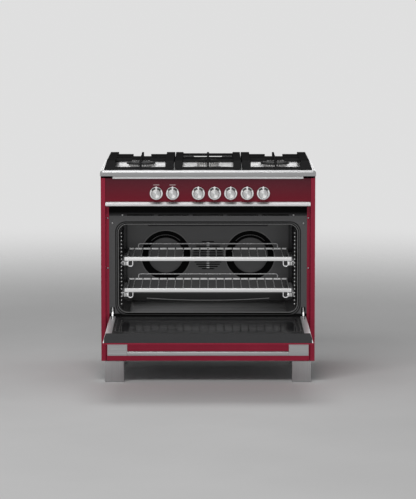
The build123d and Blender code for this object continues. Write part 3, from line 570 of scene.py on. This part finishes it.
for name, node, kind in (("burnerBases", "burner_bases", "base"), ("burnerHeads", "burner_heads", "head")):
    makePiece(name, portBurners(kind), node, more=(paintedShadeBlack,), turned=False)
makePiece("burnerCaps", turnBurners("cap"), "burner_caps", finish=capEnamel)
makePiece("hobRings", turnBurners("ring", closed=True), "hob_top", hides=False, finish=hobSteel)

# grates: the cast bars with eased edges
grateEdge = 1.8
for node, name in (("grate_left", "grateLeft"), ("grate_centre", "grateCentre"), ("grate_right", "grateRight")):
    softCopy(node, name, grateEdge)
print("hob pieces ready")

# knobs: a turned body, a pointer ridge and its line, mapped so that the turning rings follow each face
knobValues = {"z": 807.0, "back": 5.0, "xs": (-218.1, -149.4, -40.6, 27.6, 95.5, 165.0, 233.2),
              "profile": [(0, 0.4), (9, 0), (25.6, 0), (26.6, 0.6), (27, 1.6), (27, 6.4), (26.6, 7.4),
                          (25.6, 7.8), (21.0, 7.6), (20.4, 8.2), (20.0, 22), (19.2, 32.4), (18.7, 34),
                          (17.8, 35.4), (16.4, 35.8), (15.2, 35.3), (9, 35.0), (0, 34.9)],
              "ridge": ((-2.8, 2.8), (1.2, 13.8), (15, 29.3)), "line": ((-2.4, 2.4), (13, 35.9), (13.6, 20.6)),
              "ridgeEdge": 0.7, "face": 33.0, "grip": 20.6, "skirt": 8.3,
              "shadedTurn": (10, 58), "shadedRing": (20.2, 26)}
for number, x in enumerate(knobValues["xs"], start=1):
    bm = bmesh.new()
    middle = Vector((x, frontY - knobValues["back"], knobValues["z"]))
    addLathe(bm, knobValues["profile"], middle, axis=facing, steps=64)
    for face in bm.faces:  # painted shade and reflection: the grip's flank and the skirt beside the pointer are darker than the turned face
        spot = face.calc_center_median() / mm - middle
        reach, swing = math.hypot(spot.x, spot.z), math.degrees(math.atan2(abs(spot.x), spot.z))
        shaded = (knobValues["shadedTurn"][0] < swing < knobValues["shadedTurn"][1]
                  and knobValues["shadedRing"][0] < reach < knobValues["shadedRing"][1])
        if -spot.y < knobValues["skirt"]:
            face.material_index = 1 if shaded else 2
        else:
            face.material_index = int(-spot.y < knobValues["face"] and reach < knobValues["grip"])
    turned = set(bm.faces)
    for key in ("ridge", "line"):
        across, out, up = knobValues[key]
        addSoftBox(bm, (x + across[0], x + across[1]), (middle.y - out[1], middle.y - out[0]),
                   (middle.z + up[0], middle.z + up[1]), knobValues["ridgeEdge"])
    for face in bm.faces:
        if face not in turned:
            face.material_index = 2
    faceMap = bm.loops.layers.uv.new("faceMap")
    for face in bm.faces:
        for loop in face.loops:
            loop[faceMap].uv = (loop.vert.co.x - x * mm, loop.vert.co.z - knobValues["z"] * mm)
    makePiece(f"knobTurned{number}", bm, f"knob_{number}", more=(knobPaintedShade, skirtMetal))

# a plain dash above each of the two left knobs
markValues = {"z": 842.0, "bar": (13.0, 1.3), "proud": 0.15, "sunk": 0.5, "rounding": 0.95}
wide, tall = markValues["bar"]
bm = bmesh.new()
for x in knobValues["xs"][:2]:
    made = addBox(bm, around(x, wide), (frontY - markValues["proud"], frontY + markValues["sunk"]),
                  around(markValues["z"], tall))
    ease(bm, edgesAlong(made, 1), tall * markValues["rounding"], 4)
makePiece("panelMarks", bm, "control_panel", hides=False, finish=markPaint)
print("knobs ready")

# front frame: painted shadow above the vent slots, under the trim and control panel, and painted shade in black
# under the mouth
frameValues = {"edge": 0.5, "ventLine": 706.0, "sillLine": 288.0}
ventLine, sillLine = frameValues["ventLine"], frameValues["sillLine"]
piece = softCopy("oven_front_frame", "frontFrame", frameValues["edge"], 2, more=(ventShade, paintedShadeBlack),
                 cuts=((0, 0, 1), (ventLine, sillLine)))
for face in piece.data.polygons:
    z = face.center.z / mm
    face.material_index = 1 if z > ventLine else 2 if z < sillLine else 0

# oven mouth: the rope seal, a black ring that paints the shade between seal and lip, and a rolled lip round the
# opening, its pale enamel a painted highlight
mouthValues = {"z": 482.0, "depth": 52.0,  # each loop: half width and height, corner, wire, how far forward
               "seal": (391.5, 198.5, 43.0, 2.4, 1.5), "groove": (384.6, 192.1, 41.0, 1.9, 0.4),
               "lip": (381.2, 188.7, 38.0, 1.9, 0.4)}
for name, node, key, hides, finish in (("sealRope", "door_gasket", "seal", True, None),
                                       ("mouthShadeRing", "oven_front_frame", "groove", False, paintedShadeBlack),
                                       ("mouthLip", "oven_front_frame", "lip", False, lipEnamel)):
    wide, tall, corner, radius, forward = mouthValues[key]
    bm = bmesh.new()
    addLoop(bm, (0, frontY + mouthValues["depth"] - forward, mouthValues["z"]), (wide, tall), corner, radius)
    makePiece(name, bm, node, hides=hides, finish=finish)

# fans: a rolled lip round each hole, a dished cover on three posts, and a black well behind the gap that paints
# the shade there
fanValues = {"x": 186.0, "z": 489.5, "depth": 470.0, "steps": 72,
             "cover": [(0, 2.4), (5, 2.4), (6, 1.2), (60, 0.6), (74, 0), (77, -1), (78, -2.2), (76.5, -3),
                       (0, -2)],
             "lip": [(108, 0.2), (109.5, 1.4), (112.5, 1.4), (114, 0.2), (112, -1.2), (109, -1.2)],
             "well": [(76.5, -12), (76.5, -13), (114, -13), (114, -2.2), (113, -2.2), (113, -12)],
             "postTurns": (30, 150, 270), "postRing": 71.5, "post": 4.0, "postStart": 2.0, "postEnd": 30.0,
             "rim": 89.5, "rimWire": 1.3, "rimDepth": 8.0}
backY = frontY + fanValues["depth"]
covers, lips, wells, studs, rib, shade = (bmesh.new() for kind in range(6))
for side in (-1, 1):
    spot = Vector((side * fanValues["x"], backY, fanValues["z"]))
    for bm, key in ((covers, "cover"), (lips, "lip"), (wells, "well")):
        addLathe(bm, fanValues[key], spot, axis=facing, steps=fanValues["steps"], closed=True)
    for turn in fanValues["postTurns"]:
        post = Vector((fanValues["postRing"], fanValues["postStart"], 0))
        post = Matrix.Rotation(math.radians(turn), 3, "Y") @ post + spot
        addWire(covers, post, (0, 1, 0), fanValues["post"], [fanValues["postEnd"] - fanValues["postStart"]],
                sides=12)
    lean = fanValues["rim"] * math.sqrt(0.5)  # a painted highlight: the bit of the inner rim that catches the light
    addWire(lips, spot + Vector((-lean, fanValues["rimDepth"], lean)), (1, 0, 1), fanValues["rimWire"],
            [((0, 1, 0), 90, fanValues["rim"])], bendSteps=24)

# grille between the fans: slots that run on across its middle rib, their black a painted shade, and pressed
# studs on the rib, their pale metal a painted glint
grilleValues = {"disc": [(0, -3), (70, -3), (70, -4), (0, -4)], "rows": 13, "pitch": 10.0, "sunk": 0.5,
                "stud": (6.0, 2.0), "studProud": 1.4, "studEdge": 0.6,
                "slot": (8.0, 2.4), "slotProud": 0.4, "slotEdge": 0.3}
addLathe(wells, grilleValues["disc"], (0, backY, fanValues["z"]), axis=facing, closed=True)
for bm, kind, rows in ((studs, "stud", grilleValues["rows"] - 1), (wells, "slot", grilleValues["rows"])):
    wide, tall = grilleValues[kind]
    for row in range(rows):
        z = fanValues["z"] + (row - (rows - 1) / 2) * grilleValues["pitch"]
        addSoftBox(bm, (-wide, wide), (backY - grilleValues[kind + "Proud"], backY + grilleValues["sunk"]),
                   around(z, tall), grilleValues[kind + "Edge"])

# foot of the back wall: a long shallow rib whose pale enamel paints its highlight, and a dark strip that paints
# the rack's shadow on the wall
footValues = {"half": 270.0, "z": 289.5, "bow": 3800.0, "wire": 1.7, "proud": 1.5,
              "shade": ((-338, 338), (291, 321)), "shadeProud": 1.2, "shadeSunk": 0.5, "shadeEdge": 0.5}
swing = math.asin(footValues["half"] / footValues["bow"])
start = (-footValues["half"], backY - footValues["proud"],
         footValues["z"] + footValues["bow"] * (1 - math.cos(swing)))
addWire(rib, start, (math.cos(swing), 0, -math.sin(swing)), footValues["wire"],
        [(facing, math.degrees(2 * swing), footValues["bow"])], bendSteps=40)
across, tall = footValues["shade"]
addSoftBox(shade, across, (backY - footValues["shadeProud"], backY + footValues["shadeSunk"]), tall,
           footValues["shadeEdge"])
makePiece("backRib", rib, "fan_baffle", hides=False, finish=ribEnamel)
makePiece("backShade", shade, "fan_baffle", hides=False, finish=shadeEnamel)
makePiece("grilleStuds", studs, "fan_baffle", hides=False, finish=glintMetal)
makePiece("fanCovers", covers, "fan_covers", finish=backEnamel)
makePiece("fanLips", lips, "fan_baffle", hides=False, finish=lipEnamel)
makePiece("fanWells", wells, "fan_baffle", hides=False, finish=paintedShadeBlack)

# oven floor: a pressed plate with a raised middle, its enamel painted lighter towards the back as painted light
plateValues = {"half": 336.0, "near": 80.0, "far": 455.0, "z": 285.0, "corner": 30.0, "border": 40.0,
               "slope": 7.0, "rise": 4.0, "edge": 1.5, "edgeAngle": 20, "wall": 1.8}
bm = bmesh.new()
face = addPlate(bm, around(0, plateValues["half"]), (frontY + plateValues["near"], frontY + plateValues["far"]),
                plateValues["z"], plateValues["corner"])
for width, rise in ((plateValues["border"], 0), (plateValues["slope"], plateValues["rise"])):
    bmesh.ops.inset_region(bm, faces=[face], thickness=width * mm, depth=rise * mm, use_even_offset=True)
bmesh.ops.recalc_face_normals(bm, faces=bm.faces)
plate = makePiece("floorPlate", bm, "oven_floor_plate", finish=floorEnamel, turned=False)
softEdge(plate, plateValues["edge"], angle=plateValues["edgeAngle"])
thicken(plate, plateValues["wall"])

# ladders at the sides, their dark wire a painted shade, their rungs with rounded ends whose pale metal paints
# their glints
ladderValues = {"x": 372.5, "wall": 383.5, "uprights": (120.0, 400.0), "z": (322.0, 642.0), "wire": 2.5,
                "bend": 6.0, "rungX": 369.0, "pitch": 16.0, "count": 20, "low": 325.0, "near": 84.0,
                "far": 431.0, "rung": 2.0,
                "tip": [(0, 1.4), (1.3, 1.1), (2.3, 0.2), (2.6, -1.2), (2.6, -7), (0, -7)], "railEdge": 0.6}
bm, tips = bmesh.new(), bmesh.new()
reach = ladderValues["wall"] - ladderValues["x"] - ladderValues["bend"]
tall = ladderValues["z"][1] - ladderValues["z"][0] - 2 * ladderValues["bend"]
for side in (-1, 1):
    turn = ((0, side, 0), 90, ladderValues["bend"])
    for depth in ladderValues["uprights"]:
        foot = (side * ladderValues["wall"], frontY + depth, ladderValues["z"][0])
        addWire(bm, foot, (-side, 0, 0), ladderValues["wire"], [reach, turn, tall, turn, reach])
    for row in range(ladderValues["count"]):
        tip = (side * ladderValues["rungX"], frontY + ladderValues["near"],
               ladderValues["low"] + row * ladderValues["pitch"])
        addWire(bm, tip, (0, 1, 0), ladderValues["rung"], [ladderValues["far"] - ladderValues["near"]], sides=8)
        addLathe(tips, ladderValues["tip"], tip, axis=facing, steps=12)
makePiece("sideLadders", bm, "side_ladders", finish=ladderWire)
makePiece("rungTips", tips, "side_ladders", hides=False, finish=glintMetal)
softCopy("runner_rails", "runnerRails", ladderValues["railEdge"], 2)

# racks: a front bar with clips, a rear strip, the wires between, a guard at the back and a loop at each end
rackValues = {"decks": {"upper": 519.5, "lower": 385.5}, "near": 70.0, "far": 463.0,
              "half": 356.0, "bar": 8.0, "barHalf": 8.5, "barEdge": 2.0,
              "clips": ((351.5, 356.0), (338.5, 347.5)), "clipDrop": (27.5, 11.5), "clipProud": 1.0,
              "clipEdge": 1.2,
              "strip": (349.0, 1.5, 3.8), "stripEdge": 0.8, "weldAndShadeWidth": 2.6,
              "pitch": 35.8, "count": 19, "wire": 2.0, "wireStart": 5.0, "side": 347.0, "sideWire": 2.9,
              "loops": (340.5, 320.5), "loopTop": 7.0, "loopDrop": 31.5, "loopBend": 9.0, "loopWire": 2.5,
              "guard": 306.0, "guardRise": 22.0, "guardBend": 8.0, "guardWire": 2.4, "slideEdge": 1.0}
near, far = frontY + rackValues["near"], frontY + rackValues["far"]
start, run = near + rackValues["wireStart"], far - near - rackValues["wireStart"]
for level, deck in rackValues["decks"].items():
    bars, strip, bm = bmesh.new(), bmesh.new(), bmesh.new()
    addSoftBox(bars, around(0, rackValues["half"]), (near, near + rackValues["bar"]),
               around(deck, rackValues["barHalf"]), rackValues["barEdge"], 4)
    for side in (-1, 1):  # a bright split clip where the bar sits on its slide
        for low, high in rackValues["clips"]:
            addSoftBox(bars, sorted((side * low, side * high)),
                       (near - rackValues["clipProud"], near + rackValues["bar"]),
                       [deck - drop for drop in rackValues["clipDrop"]], rackValues["clipEdge"], 3)
    makePiece(f"rackBars_{level}", bars, f"rack_{level}", hides=False, finish=barSteel)
    # the rear strip's near-white finish paints its highlight, and a painted shadow darkens it at each wire
    wide, thin, tall = rackValues["strip"]
    addSoftBox(strip, around(0, wide), around(far, thin), around(deck, tall), rackValues["stripEdge"])
    for row in range(rackValues["count"]):
        x = (row - (rackValues["count"] - 1) / 2) * rackValues["pitch"]
        addWire(bm, (x, start, deck), (0, 1, 0), rackValues["wire"], [run])
        low, high = around(x, rackValues["weldAndShadeWidth"])
        cutAcross(strip, (1, 0, 0), (low, high))
        for face in strip.faces:  # a painted shadow at each wire
            if low < face.calc_center_median().x / mm < high:
                face.material_index = 1
    makePiece(f"rackStrip_{level}", strip, f"rack_{level}", hides=False, finish=stripWire, more=(wireShadowMark,))
    outer, inner = rackValues["loops"]
    drop = rackValues["loopDrop"] - rackValues["loopTop"] - rackValues["loopBend"]
    across = outer - inner - 2 * rackValues["loopBend"]
    for side in (-1, 1):
        addWire(bm, (side * rackValues["side"], start, deck), (0, 1, 0), rackValues["sideWire"], [run])
        curl = ((0, side, 0), 90, rackValues["loopBend"])
        addWire(bm, (side * outer, near + rackValues["bar"] / 2, deck - rackValues["loopTop"]), (0, 0, -1),
                rackValues["loopWire"], [drop, curl, across, curl, drop])
    turn = ((0, 1, 0), 90, rackValues["guardBend"])
    rise = rackValues["guardRise"] - rackValues["guardBend"]
    span = 2 * (rackValues["guard"] - rackValues["guardBend"])
    addWire(bm, (-rackValues["guard"], far, deck), (0, 0, 1), rackValues["guardWire"],
            [rise, turn, span, turn, rise])
    makePiece(f"rackWires_{level}", bm, f"rack_{level}")
    softCopy(f"runner_slides_{level}", f"runnerSlides_{level}", rackValues["slideEdge"], 3, hingeSteel)
print("oven pieces ready")

# screws with a domed head and a drive recess: depth, then places
screwValues = {"flange": (50.0, [(426.0, 697.0), (426.0, 483.0)]),
               "plate": (52.0, [(363.0, 709.0), (405.5, 674.0)]),
               "head": [(0, 1.0), (1.1, 1.0), (1.6, 2.0), (2.6, 1.95), (3.5, 1.4), (4, 0.4), (4, 0), (0, 0)]}
bm = bmesh.new()
for key in ("flange", "plate"):
    depth, spots = screwValues[key]
    for x, z in spots:
        for side in (-1, 1):
            addLathe(bm, screwValues["head"], (side * x, frontY + depth, z), axis=facing, steps=20)
makePiece("panScrews", bm, "frame_screws")

# hinges: claws with a bright waist, a painted highlight, and a boss, in black slots that paint the shade round
# them
clawValues = {"x": 405.5, "face": 52.0, "edge": 0.8, "bright": (281.0, 297.0),
              "slot": (9.0, (271.0, 317.0)), "slotProud": 0.4, "slotSunk": 0.5, "slotCorner": 6.0,
              "boss": [(0, 3.6), (3.4, 3.4), (4.8, 2.2), (5.2, 0), (0, 0)], "bossZ": 288.0, "housingEdge": 0.6}
low, high = clawValues["bright"]
piece = softCopy("hinge_claws", "hingeClaws", clawValues["edge"], 2, hingeSteel, more=(barSteel,),
                 cuts=((0, 0, 1), (low, high)))
for face in piece.data.polygons:
    face.material_index = int(low < face.center.z / mm < high)
bm, slots = bmesh.new(), bmesh.new()
half, tall = clawValues["slot"]
y = frontY + clawValues["face"]
for side in (-1, 1):
    x = side * clawValues["x"]
    addLathe(bm, clawValues["boss"], (x, y, clawValues["bossZ"]), axis=facing, steps=24)
    made = addBox(slots, around(x, half), (y - clawValues["slotProud"], y + clawValues["slotSunk"]), tall)
    ease(slots, edgesAlong(made, 1), clawValues["slotCorner"], 6)
makePiece("clawBosses", bm, "hinge_claws", hides=False, finish=barSteel)
makePiece("clawSlots", slots, "oven_front_frame", hides=False, finish=paintedShadeBlack)
softCopy("hinge_housings", "hingeHousings", clawValues["housingEdge"], 2)

# door: eased skin, trims, liner and brackets; the liner's front band is enamelled and its ends are steel
doorValues = {"skin": 0.8, "trims": 0.8, "liner": 1.2, "bracket": 2.4, "bandEnd": -460.0, "bandHalf": 423.0}
softCopy("door_outer_panel", "doorSkin", doorValues["skin"])
softCopy("door_side_trims", "doorTrims", doorValues["trims"], finish=doorSteel)
piece = softCopy("door_liner", "doorLiner", doorValues["liner"], finish=bandEnamel,
                 more=(linerBlack, doorSteel), cuts=((1, 0, 0), around(0, doorValues["bandHalf"])))
for face in piece.data.polygons:
    inner = face.center.y > (frontY + doorValues["bandEnd"]) * mm
    face.material_index = 1 if inner else 2 if abs(face.center.x) > doorValues["bandHalf"] * mm else 0
softCopy("handle_brackets", "handleBrackets", doorValues["bracket"])

# two pressed lines round the pane
beadValues = {"glassZ": 278.0, "middle": -215.5,  # each bead: half width and depth, corner, wire, how far down
              "outer": (380.0, 205.0, 34.0, 1.3, 0.5), "inner": (364.0, 190.0, 26.0, 1.1, 2.6)}
for name, node, key in (("doorBeadOuter", "door_liner", "outer"),
                        ("doorBeadInner", "door_inner_glass", "inner")):
    wide, deep, corner, radius, drop = beadValues[key]
    bm = bmesh.new()
    addLoop(bm, (0, frontY + beadValues["middle"], beadValues["glassZ"] - drop), (wide, deep), corner, radius,
            flat=True)
    makePiece(name, bm, node, hides=False, finish=beadEnamel)

# handle: a bar, rounded along its length
handleEdge = 3.0
bm = bmesh.new()
made = addBox(bm, *rangesOf(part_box("handle_bar")))
ease(bm, edgesAlong(made, 0), handleEdge, 5)
makePiece("handleBar", bm, "handle_bar")
print("door pieces ready")

# floor: it thins out towards its edge, so no line shows where it ends
floorValues = {"radius": 7.0, "dark": (0.80, 0.80, 0.80), "light": (0.832, 0.832, 0.832), "rough": (0.7, 0.8),
               "cloud": 1.5, "grain": 40.0, "fade": (1.2, 6.5)}
bm = bmesh.new()
bmesh.ops.create_circle(bm, cap_ends=True, segments=96, radius=floorValues["radius"])
floorMesh = bpy.data.meshes.new("paleFloor")
bm.to_mesh(floorMesh)
bm.free()
floor = bpy.data.objects.new("paleFloor", floorMesh)
scene.collection.objects.link(floor)
floorFinish, tree, shader = startFinish("floorFinish", {"Specular IOR Level": 0.0})
tint(tree, shader, noiseOn(tree, floorValues["cloud"]), floorValues["dark"], floorValues["light"])
roughen(tree, shader, noiseOn(tree, floorValues["grain"]), *floorValues["rough"])
place = addNode(tree, "ShaderNodeTexCoord")
reach = addNode(tree, "ShaderNodeVectorMath", operation="LENGTH")
tree.links.new(place.outputs["Object"], reach.inputs[0])
near, far = floorValues["fade"]
fade = addNode(tree, "ShaderNodeMapRange", {"From Min": near, "From Max": far, "To Min": 1.0, "To Max": 0.0},
               interpolation_type="SMOOTHSTEP")
tree.links.new(reach.outputs["Value"], fade.inputs["Value"])
tree.links.new(fade.outputs["Result"], shader.inputs["Alpha"])
floor.data.materials.append(floorFinish)

# world: a pale surround that the camera, gloss and glass see, and a weaker light from it
worldValues = {"pale": (0.74, 0.74, 0.74, 1), "white": (1, 1, 1, 1), "light": 0.14}
world = bpy.data.worlds.new("studio")
scene.world = world
world.use_nodes = True
tree = world.node_tree
tree.nodes.clear()
rays = addNode(tree, "ShaderNodeLightPath").outputs
seen = addNode(tree, "ShaderNodeMath", operation="MAXIMUM")
shown = addNode(tree, "ShaderNodeMath", operation="MAXIMUM")
light = addNode(tree, "ShaderNodeBackground", {"Color": worldValues["white"], "Strength": worldValues["light"]})
pale = addNode(tree, "ShaderNodeBackground", {"Color": worldValues["pale"], "Strength": 1.0})
mix = addNode(tree, "ShaderNodeMixShader")
out = addNode(tree, "ShaderNodeOutputWorld")
for source, target in ((rays["Is Camera Ray"], seen.inputs[0]), (rays["Is Glossy Ray"], seen.inputs[1]),
                       (seen.outputs[0], shown.inputs[0]), (rays["Is Transmission Ray"], shown.inputs[1]),
                       (shown.outputs[0], mix.inputs[0]), (light.outputs[0], mix.inputs[1]),
                       (pale.outputs[0], mix.inputs[2]), (mix.outputs[0], out.inputs[0])):
    tree.links.new(source, target)

# lamps
lampValues = [  # name, place, aimed at, size, watts, seen in gloss
    ("frontPanel", (0.2, -5.6, 0.6), (0, 0, 0.5), (3.0, 1.1), 165, False),
    ("eavesPanel", (0.1, -4.4, 3.4), (0, 0, 0.5), (2.6, 1.0), 88, False),
    ("keyPanel", (-0.8, -2.6, 3.7), (0, -0.2, 0.5), (2.6, 1.6), 60, True),
    ("topPanel", (0, 0.4, 3.2), (0, 0.1, 0.9), (2.4, 1.6), 20, True),
    ("backPanel", (0, 3.4, 1.4), (0, 0.1, 0.95), (4.0, 1.4), 22, True),
]
offFloor = bpy.data.collections.new("offFloor")  # the front, eaves and back lamps leave the floor to the others
offFloor.objects.link(floor)
unshaded = bpy.data.collections.new("unshaded")  # the door casts no shade from the key and eaves lamps
for piece in ridesOn["door"]:
    unshaded.objects.link(piece)
for entry in (*offFloor.collection_objects, *unshaded.collection_objects):
    entry.light_linking.link_state = "EXCLUDE"
for name, spot, aim, size, watts, mirrored in lampValues:
    lamp = bpy.data.lights.new(name, "AREA")
    lamp.shape = "RECTANGLE"
    lamp.size, lamp.size_y = size
    lamp.energy = watts
    holder = bpy.data.objects.new(name, lamp)
    holder.location = spot
    holder.visible_camera = False
    holder.visible_glossy = mirrored
    if name in ("frontPanel", "eavesPanel", "backPanel"):
        holder.light_linking.receiver_collection = offFloor
    if name in ("keyPanel", "eavesPanel"):
        holder.light_linking.blocker_collection = unshaded
    holder.rotation_euler = (Vector(aim) - Vector(spot)).to_track_quat("-Z", "Y").to_euler()
    scene.collection.objects.link(holder)

# camera
cameraValues = {"back": 11.0, "height": 1.82, "tiltDown": 6.492, "lens": 189.0, "sensor": 36.0}
camera = bpy.data.objects.new("photoCamera", bpy.data.cameras.new("photoCamera"))
camera.data.lens = cameraValues["lens"]
camera.data.sensor_width = cameraValues["sensor"]
camera.location = (0, frontY * mm - cameraValues["back"], cameraValues["height"])
camera.rotation_euler = (math.radians(90 - cameraValues["tiltDown"]), 0, 0)
scene.collection.objects.link(camera)
scene.camera = camera
scene.view_settings.view_transform = "Standard"
print("stage ready")
